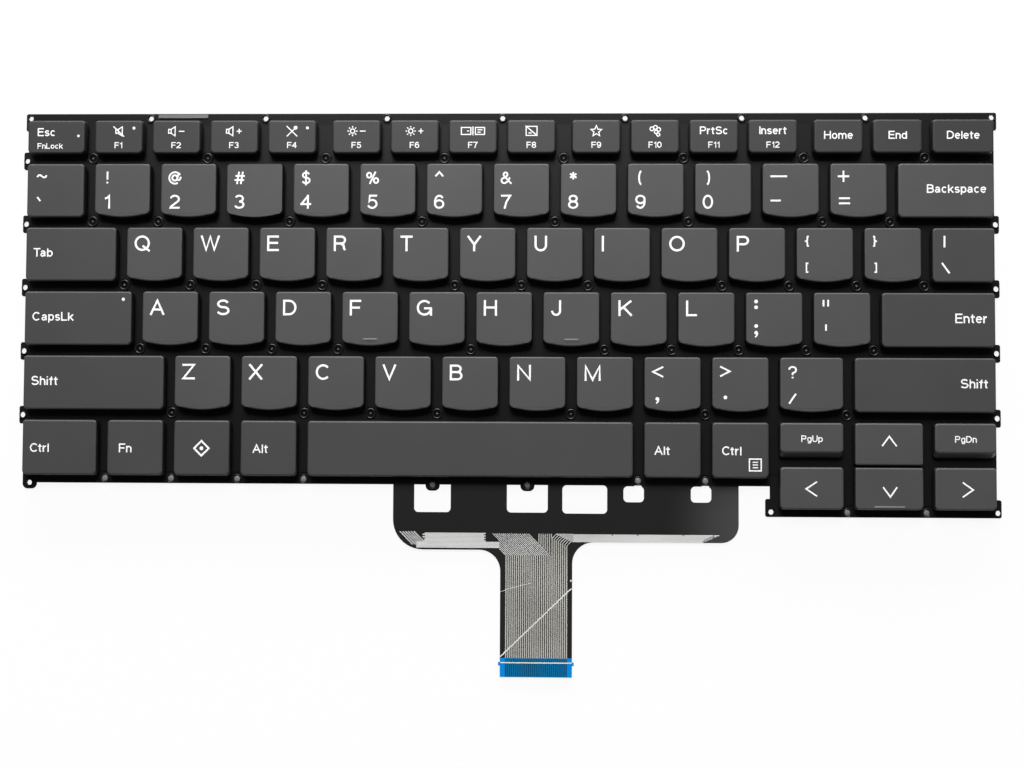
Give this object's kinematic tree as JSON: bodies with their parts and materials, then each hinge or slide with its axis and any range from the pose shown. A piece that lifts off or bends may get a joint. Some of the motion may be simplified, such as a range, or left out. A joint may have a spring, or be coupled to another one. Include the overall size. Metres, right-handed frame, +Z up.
{
  "type": "laptop keyboard module",
  "caption": "Low-profile laptop keyboard module: staggered chiclet keys on scissor links over a printed film, on a thin screw-eared backplate with a stiffened connector tail.",
  "frame": {"origin": "middle of the home row, at the centre of the side screw rectangle, on the backplate's underside", "axes": "+X to the right along the key rows, +Y to the function row, +Z up through the key tops"},
  "size_m": [0.2798, 0.1608, 0.0045],
  "materials": {
    "plate_paint": "satin black paint on thin sheet",
    "film": "black printed polyester film with silver ink traces on the tail",
    "stiffener_film": "blue polyester stiffener",
    "dome_rubber": "translucent grey silicone",
    "link_plastic": "moulded black acetal",
    "wire_steel": "drawn steel wire",
    "keycap_plastic": "fine matte charcoal coating with white legends"
  },
  "bodies": {
    "base": {"backplate": "plate_paint", "membrane": "film", "tail_stiffener": "stiffener_film", "rubber_domes": "dome_rubber", "scissor_links": "link_plastic", "stabilizer_bars": "wire_steel", "function_row_keycaps": "keycap_plastic", "number_row_keycaps": "keycap_plastic"},
    "key_a": {"key_a": "keycap_plastic"},
    "key_b": {"key_b": "keycap_plastic"},
    "key_backslash": {"key_backslash": "keycap_plastic"},
    "key_c": {"key_c": "keycap_plastic"},
    "key_caps_lock": {"key_caps_lock": "keycap_plastic"},
    "key_comma": {"key_comma": "keycap_plastic"},
    "key_d": {"key_d": "keycap_plastic"},
    "key_down": {"key_down": "keycap_plastic"},
    "key_e": {"key_e": "keycap_plastic"},
    "key_enter": {"key_enter": "keycap_plastic"},
    "key_f": {"key_f": "keycap_plastic"},
    "key_fn": {"key_fn": "keycap_plastic"},
    "key_g": {"key_g": "keycap_plastic"},
    "key_h": {"key_h": "keycap_plastic"},
    "key_i": {"key_i": "keycap_plastic"},
    "key_j": {"key_j": "keycap_plastic"},
    "key_k": {"key_k": "keycap_plastic"},
    "key_l": {"key_l": "keycap_plastic"},
    "key_left": {"key_left": "keycap_plastic"},
    "key_left_alt": {"key_left_alt": "keycap_plastic"},
    "key_left_bracket": {"key_left_bracket": "keycap_plastic"},
    "key_left_ctrl": {"key_left_ctrl": "keycap_plastic"},
    "key_left_shift": {"key_left_shift": "keycap_plastic"},
    "key_m": {"key_m": "keycap_plastic"},
    "key_n": {"key_n": "keycap_plastic"},
    "key_o": {"key_o": "keycap_plastic"},
    "key_p": {"key_p": "keycap_plastic"},
    "key_page_down": {"key_page_down": "keycap_plastic"},
    "key_page_up": {"key_page_up": "keycap_plastic"},
    "key_period": {"key_period": "keycap_plastic"},
    "key_q": {"key_q": "keycap_plastic"},
    "key_quote": {"key_quote": "keycap_plastic"},
    "key_r": {"key_r": "keycap_plastic"},
    "key_right": {"key_right": "keycap_plastic"},
    "key_right_alt": {"key_right_alt": "keycap_plastic"},
    "key_right_bracket": {"key_right_bracket": "keycap_plastic"},
    "key_right_ctrl": {"key_right_ctrl": "keycap_plastic"},
    "key_right_shift": {"key_right_shift": "keycap_plastic"},
    "key_s": {"key_s": "keycap_plastic"},
    "key_semicolon": {"key_semicolon": "keycap_plastic"},
    "key_slash": {"key_slash": "keycap_plastic"},
    "key_space": {"key_space": "keycap_plastic"},
    "key_system": {"key_system": "keycap_plastic"},
    "key_t": {"key_t": "keycap_plastic"},
    "key_tab": {"key_tab": "keycap_plastic"},
    "key_u": {"key_u": "keycap_plastic"},
    "key_up": {"key_up": "keycap_plastic"},
    "key_v": {"key_v": "keycap_plastic"},
    "key_w": {"key_w": "keycap_plastic"},
    "key_x": {"key_x": "keycap_plastic"},
    "key_y": {"key_y": "keycap_plastic"},
    "key_z": {"key_z": "keycap_plastic"}
  },
  "joints": [
    {"name": "press_a", "type": "slide", "parent": "base", "child": "key_a", "axis": [0, 0, -1], "range_m": [0, 0.0013], "stiffness_N_per_m": 460, "deforming": ["rubber_domes", "scissor_links", "stabilizer_bars"]},
    {"name": "press_b", "type": "slide", "parent": "base", "child": "key_b", "axis": [0, 0, -1], "range_m": [0, 0.0013], "stiffness_N_per_m": 460, "deforming": ["rubber_domes", "scissor_links", "stabilizer_bars"]},
    {"name": "press_backslash", "type": "slide", "parent": "base", "child": "key_backslash", "axis": [0, 0, -1], "range_m": [0, 0.0013], "stiffness_N_per_m": 460, "deforming": ["rubber_domes", "scissor_links", "stabilizer_bars"]},
    {"name": "press_c", "type": "slide", "parent": "base", "child": "key_c", "axis": [0, 0, -1], "range_m": [0, 0.0013], "stiffness_N_per_m": 460, "deforming": ["rubber_domes", "scissor_links", "stabilizer_bars"]},
    {"name": "press_caps_lock", "type": "slide", "parent": "base", "child": "key_caps_lock", "axis": [0, 0, -1], "range_m": [0, 0.0013], "stiffness_N_per_m": 460, "deforming": ["rubber_domes", "scissor_links", "stabilizer_bars"]},
    {"name": "press_comma", "type": "slide", "parent": "base", "child": "key_comma", "axis": [0, 0, -1], "range_m": [0, 0.0013], "stiffness_N_per_m": 460, "deforming": ["rubber_domes", "scissor_links", "stabilizer_bars"]},
    {"name": "press_d", "type": "slide", "parent": "base", "child": "key_d", "axis": [0, 0, -1], "range_m": [0, 0.0013], "stiffness_N_per_m": 460, "deforming": ["rubber_domes", "scissor_links", "stabilizer_bars"]},
    {"name": "press_down", "type": "slide", "parent": "base", "child": "key_down", "axis": [0, 0, -1], "range_m": [0, 0.0013], "stiffness_N_per_m": 460, "deforming": ["rubber_domes", "scissor_links", "stabilizer_bars"]},
    {"name": "press_e", "type": "slide", "parent": "base", "child": "key_e", "axis": [0, 0, -1], "range_m": [0, 0.0013], "stiffness_N_per_m": 460, "deforming": ["rubber_domes", "scissor_links", "stabilizer_bars"]},
    {"name": "press_enter", "type": "slide", "parent": "base", "child": "key_enter", "axis": [0, 0, -1], "range_m": [0, 0.0013], "stiffness_N_per_m": 460, "deforming": ["rubber_domes", "scissor_links", "stabilizer_bars"]},
    {"name": "press_f", "type": "slide", "parent": "base", "child": "key_f", "axis": [0, 0, -1], "range_m": [0, 0.0013], "stiffness_N_per_m": 460, "deforming": ["rubber_domes", "scissor_links", "stabilizer_bars"]},
    {"name": "press_fn", "type": "slide", "parent": "base", "child": "key_fn", "axis": [0, 0, -1], "range_m": [0, 0.0013], "stiffness_N_per_m": 460, "deforming": ["rubber_domes", "scissor_links", "stabilizer_bars"]},
    {"name": "press_g", "type": "slide", "parent": "base", "child": "key_g", "axis": [0, 0, -1], "range_m": [0, 0.0013], "stiffness_N_per_m": 460, "deforming": ["rubber_domes", "scissor_links", "stabilizer_bars"]},
    {"name": "press_h", "type": "slide", "parent": "base", "child": "key_h", "axis": [0, 0, -1], "range_m": [0, 0.0013], "stiffness_N_per_m": 460, "deforming": ["rubber_domes", "scissor_links", "stabilizer_bars"]},
    {"name": "press_i", "type": "slide", "parent": "base", "child": "key_i", "axis": [0, 0, -1], "range_m": [0, 0.0013], "stiffness_N_per_m": 460, "deforming": ["rubber_domes", "scissor_links", "stabilizer_bars"]},
    {"name": "press_j", "type": "slide", "parent": "base", "child": "key_j", "axis": [0, 0, -1], "range_m": [0, 0.0013], "stiffness_N_per_m": 460, "deforming": ["rubber_domes", "scissor_links", "stabilizer_bars"]},
    {"name": "press_k", "type": "slide", "parent": "base", "child": "key_k", "axis": [0, 0, -1], "range_m": [0, 0.0013], "stiffness_N_per_m": 460, "deforming": ["rubber_domes", "scissor_links", "stabilizer_bars"]},
    {"name": "press_l", "type": "slide", "parent": "base", "child": "key_l", "axis": [0, 0, -1], "range_m": [0, 0.0013], "stiffness_N_per_m": 460, "deforming": ["rubber_domes", "scissor_links", "stabilizer_bars"]},
    {"name": "press_left", "type": "slide", "parent": "base", "child": "key_left", "axis": [0, 0, -1], "range_m": [0, 0.0013], "stiffness_N_per_m": 460, "deforming": ["rubber_domes", "scissor_links", "stabilizer_bars"]},
    {"name": "press_left_alt", "type": "slide", "parent": "base", "child": "key_left_alt", "axis": [0, 0, -1], "range_m": [0, 0.0013], "stiffness_N_per_m": 460, "deforming": ["rubber_domes", "scissor_links", "stabilizer_bars"]},
    {"name": "press_left_bracket", "type": "slide", "parent": "base", "child": "key_left_bracket", "axis": [0, 0, -1], "range_m": [0, 0.0013], "stiffness_N_per_m": 460, "deforming": ["rubber_domes", "scissor_links", "stabilizer_bars"]},
    {"name": "press_left_ctrl", "type": "slide", "parent": "base", "child": "key_left_ctrl", "axis": [0, 0, -1], "range_m": [0, 0.0013], "stiffness_N_per_m": 460, "deforming": ["rubber_domes", "scissor_links", "stabilizer_bars"]},
    {"name": "press_left_shift", "type": "slide", "parent": "base", "child": "key_left_shift", "axis": [0, 0, -1], "range_m": [0, 0.0013], "stiffness_N_per_m": 460, "deforming": ["rubber_domes", "scissor_links", "stabilizer_bars"]},
    {"name": "press_m", "type": "slide", "parent": "base", "child": "key_m", "axis": [0, 0, -1], "range_m": [0, 0.0013], "stiffness_N_per_m": 460, "deforming": ["rubber_domes", "scissor_links", "stabilizer_bars"]},
    {"name": "press_n", "type": "slide", "parent": "base", "child": "key_n", "axis": [0, 0, -1], "range_m": [0, 0.0013], "stiffness_N_per_m": 460, "deforming": ["rubber_domes", "scissor_links", "stabilizer_bars"]},
    {"name": "press_o", "type": "slide", "parent": "base", "child": "key_o", "axis": [0, 0, -1], "range_m": [0, 0.0013], "stiffness_N_per_m": 460, "deforming": ["rubber_domes", "scissor_links", "stabilizer_bars"]},
    {"name": "press_p", "type": "slide", "parent": "base", "child": "key_p", "axis": [0, 0, -1], "range_m": [0, 0.0013], "stiffness_N_per_m": 460, "deforming": ["rubber_domes", "scissor_links", "stabilizer_bars"]},
    {"name": "press_page_down", "type": "slide", "parent": "base", "child": "key_page_down", "axis": [0, 0, -1], "range_m": [0, 0.0013], "stiffness_N_per_m": 460, "deforming": ["rubber_domes", "scissor_links", "stabilizer_bars"]},
    {"name": "press_page_up", "type": "slide", "parent": "base", "child": "key_page_up", "axis": [0, 0, -1], "range_m": [0, 0.0013], "stiffness_N_per_m": 460, "deforming": ["rubber_domes", "scissor_links", "stabilizer_bars"]},
    {"name": "press_period", "type": "slide", "parent": "base", "child": "key_period", "axis": [0, 0, -1], "range_m": [0, 0.0013], "stiffness_N_per_m": 460, "deforming": ["rubber_domes", "scissor_links", "stabilizer_bars"]},
    {"name": "press_q", "type": "slide", "parent": "base", "child": "key_q", "axis": [0, 0, -1], "range_m": [0, 0.0013], "stiffness_N_per_m": 460, "deforming": ["rubber_domes", "scissor_links", "stabilizer_bars"]},
    {"name": "press_quote", "type": "slide", "parent": "base", "child": "key_quote", "axis": [0, 0, -1], "range_m": [0, 0.0013], "stiffness_N_per_m": 460, "deforming": ["rubber_domes", "scissor_links", "stabilizer_bars"]},
    {"name": "press_r", "type": "slide", "parent": "base", "child": "key_r", "axis": [0, 0, -1], "range_m": [0, 0.0013], "stiffness_N_per_m": 460, "deforming": ["rubber_domes", "scissor_links", "stabilizer_bars"]},
    {"name": "press_right", "type": "slide", "parent": "base", "child": "key_right", "axis": [0, 0, -1], "range_m": [0, 0.0013], "stiffness_N_per_m": 460, "deforming": ["rubber_domes", "scissor_links", "stabilizer_bars"]},
    {"name": "press_right_alt", "type": "slide", "parent": "base", "child": "key_right_alt", "axis": [0, 0, -1], "range_m": [0, 0.0013], "stiffness_N_per_m": 460, "deforming": ["rubber_domes", "scissor_links", "stabilizer_bars"]},
    {"name": "press_right_bracket", "type": "slide", "parent": "base", "child": "key_right_bracket", "axis": [0, 0, -1], "range_m": [0, 0.0013], "stiffness_N_per_m": 460, "deforming": ["rubber_domes", "scissor_links", "stabilizer_bars"]},
    {"name": "press_right_ctrl", "type": "slide", "parent": "base", "child": "key_right_ctrl", "axis": [0, 0, -1], "range_m": [0, 0.0013], "stiffness_N_per_m": 460, "deforming": ["rubber_domes", "scissor_links", "stabilizer_bars"]},
    {"name": "press_right_shift", "type": "slide", "parent": "base", "child": "key_right_shift", "axis": [0, 0, -1], "range_m": [0, 0.0013], "stiffness_N_per_m": 460, "deforming": ["rubber_domes", "scissor_links", "stabilizer_bars"]},
    {"name": "press_s", "type": "slide", "parent": "base", "child": "key_s", "axis": [0, 0, -1], "range_m": [0, 0.0013], "stiffness_N_per_m": 460, "deforming": ["rubber_domes", "scissor_links", "stabilizer_bars"]},
    {"name": "press_semicolon", "type": "slide", "parent": "base", "child": "key_semicolon", "axis": [0, 0, -1], "range_m": [0, 0.0013], "stiffness_N_per_m": 460, "deforming": ["rubber_domes", "scissor_links", "stabilizer_bars"]},
    {"name": "press_slash", "type": "slide", "parent": "base", "child": "key_slash", "axis": [0, 0, -1], "range_m": [0, 0.0013], "stiffness_N_per_m": 460, "deforming": ["rubber_domes", "scissor_links", "stabilizer_bars"]},
    {"name": "press_space", "type": "slide", "parent": "base", "child": "key_space", "axis": [0, 0, -1], "range_m": [0, 0.0013], "stiffness_N_per_m": 460, "deforming": ["rubber_domes", "scissor_links", "stabilizer_bars"]},
    {"name": "press_system", "type": "slide", "parent": "base", "child": "key_system", "axis": [0, 0, -1], "range_m": [0, 0.0013], "stiffness_N_per_m": 460, "deforming": ["rubber_domes", "scissor_links", "stabilizer_bars"]},
    {"name": "press_t", "type": "slide", "parent": "base", "child": "key_t", "axis": [0, 0, -1], "range_m": [0, 0.0013], "stiffness_N_per_m": 460, "deforming": ["rubber_domes", "scissor_links", "stabilizer_bars"]},
    {"name": "press_tab", "type": "slide", "parent": "base", "child": "key_tab", "axis": [0, 0, -1], "range_m": [0, 0.0013], "stiffness_N_per_m": 460, "deforming": ["rubber_domes", "scissor_links", "stabilizer_bars"]},
    {"name": "press_u", "type": "slide", "parent": "base", "child": "key_u", "axis": [0, 0, -1], "range_m": [0, 0.0013], "stiffness_N_per_m": 460, "deforming": ["rubber_domes", "scissor_links", "stabilizer_bars"]},
    {"name": "press_up", "type": "slide", "parent": "base", "child": "key_up", "axis": [0, 0, -1], "range_m": [0, 0.0013], "stiffness_N_per_m": 460, "deforming": ["rubber_domes", "scissor_links", "stabilizer_bars"]},
    {"name": "press_v", "type": "slide", "parent": "base", "child": "key_v", "axis": [0, 0, -1], "range_m": [0, 0.0013], "stiffness_N_per_m": 460, "deforming": ["rubber_domes", "scissor_links", "stabilizer_bars"]},
    {"name": "press_w", "type": "slide", "parent": "base", "child": "key_w", "axis": [0, 0, -1], "range_m": [0, 0.0013], "stiffness_N_per_m": 460, "deforming": ["rubber_domes", "scissor_links", "stabilizer_bars"]},
    {"name": "press_x", "type": "slide", "parent": "base", "child": "key_x", "axis": [0, 0, -1], "range_m": [0, 0.0013], "stiffness_N_per_m": 460, "deforming": ["rubber_domes", "scissor_links", "stabilizer_bars"]},
    {"name": "press_y", "type": "slide", "parent": "base", "child": "key_y", "axis": [0, 0, -1], "range_m": [0, 0.0013], "stiffness_N_per_m": 460, "deforming": ["rubber_domes", "scissor_links", "stabilizer_bars"]},
    {"name": "press_z", "type": "slide", "parent": "base", "child": "key_z", "axis": [0, 0, -1], "range_m": [0, 0.0013], "stiffness_N_per_m": 460, "deforming": ["rubber_domes", "scissor_links", "stabilizer_bars"]}
  ]
}
